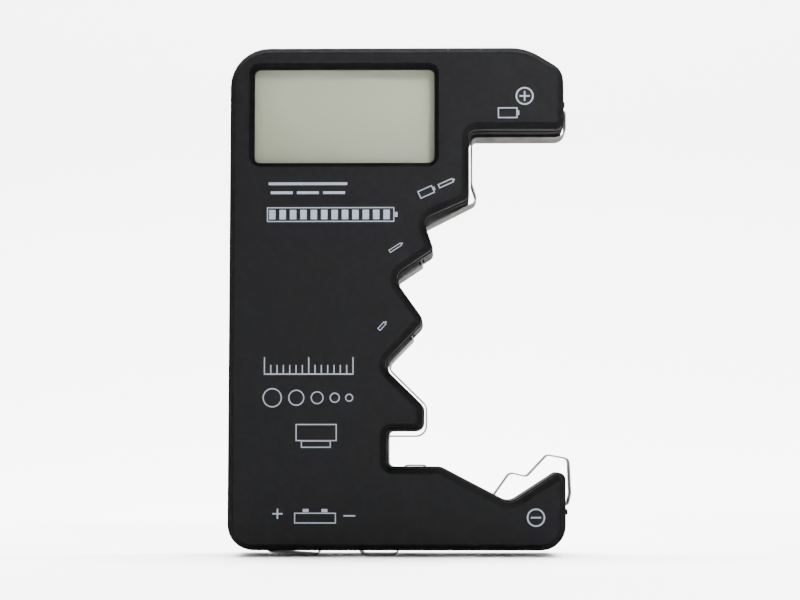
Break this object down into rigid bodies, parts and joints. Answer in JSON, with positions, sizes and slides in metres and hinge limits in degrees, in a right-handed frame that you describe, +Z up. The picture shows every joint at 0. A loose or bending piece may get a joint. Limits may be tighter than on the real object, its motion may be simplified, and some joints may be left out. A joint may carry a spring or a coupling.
{
  "type": "battery tester",
  "caption": "Pocket battery tester with a blank display, a stepped jaw for round cells, a slot for button cells and sprung 9 V contacts on its lower edge.",
  "frame": {"origin": "middle of the lower edge, at the level of the 9 V leaves' crests, half-way through the case's depth", "axes": "+Z up along the case, +X towards the open side of the jaw, +Y from the display to the back"},
  "size_m": [0.0648, 0.0164, 0.0963],
  "materials": {
    "shell_plastic": "fine moulded grain",
    "window_plastic": "clear, satin gloss",
    "display_glass": "olive-grey, blank display",
    "reflector_foil": "diffuse reflector",
    "frame_plastic": "moulded, off-white",
    "elastomer": "striped silicone connector",
    "board_laminate": "solder mask on glass laminate",
    "resin": "cured drop",
    "ferrite": "sintered",
    "can_metal": "drawn can",
    "ceramic": "fired",
    "contact_steel": "nickel-plated spring strip",
    "screw_steel": "zinc-plated",
    "red_insulation": "extruded sleeve",
    "black_insulation": "extruded sleeve"
  },
  "bodies": {
    "case": {"front_shell": "shell_plastic", "rear_shell": "shell_plastic", "display_lens": "window_plastic", "display_front_glass": "display_glass", "display_rear_glass": "display_glass", "display_reflector": "reflector_foil", "display_frame": "frame_plastic", "display_elastomer": "elastomer", "main_board": "board_laminate", "tester_chip_resin": "resin", "step_up_inductor": "ferrite", "capacitor_1": "can_metal", "capacitor_2": "can_metal", "resistor_1": "ceramic", "resistor_2": "ceramic", "resistor_3": "ceramic", "resistor_4": "ceramic", "blocking_diode": "ceramic", "positive_contact_d_c_aa": "contact_steel", "positive_contact_aaa": "contact_steel", "positive_contact_n_button": "contact_steel", "case_screw_1": "screw_steel", "case_screw_2": "screw_steel", "case_screw_3": "screw_steel", "case_screw_4": "screw_steel", "board_screw_1": "screw_steel", "board_screw_2": "screw_steel", "lead_d_c_aa": "red_insulation", "lead_aaa": "red_insulation", "lead_n_button": "red_insulation", "lead_nine_volt_long": "red_insulation", "lead_negative": "black_insulation", "lead_button_cell": "black_insulation", "lead_nine_volt_short": "black_insulation"},
    "negative_spring": {"negative_spring": "contact_steel"},
    "button_cell_leaf": {"button_cell_leaf": "contact_steel"},
    "nine_volt_long_leaf": {"nine_volt_long_leaf": "contact_steel"},
    "nine_volt_short_leaf": {"nine_volt_short_leaf": "contact_steel"}
  },
  "joints": [
    {"name": "negative_spring_press", "type": "hinge", "parent": "case", "child": "negative_spring", "pos_m": [0.03038, 0, 0.00955], "axis": [0, -1, 0], "range_deg": [0, 5], "stiffness_Nm_per_rad": 0.2},
    {"name": "button_leaf_press", "type": "hinge", "parent": "case", "child": "button_cell_leaf", "pos_m": [-0.00122, 0, 0.01385], "axis": [0, 1, 0], "range_deg": [0, 4], "stiffness_Nm_per_rad": 0.1},
    {"name": "nine_volt_long_press", "type": "hinge", "parent": "case", "child": "nine_volt_long_leaf", "pos_m": [-0.02682, 0, 0.00395], "axis": [0, -1, 0], "range_deg": [0, 5], "stiffness_Nm_per_rad": 0.09},
    {"name": "nine_volt_short_press", "type": "hinge", "parent": "case", "child": "nine_volt_short_leaf", "pos_m": [0.00128, 0, 0.00395], "axis": [0, 1, 0], "range_deg": [0, 8], "stiffness_Nm_per_rad": 0.03}
  ]
}
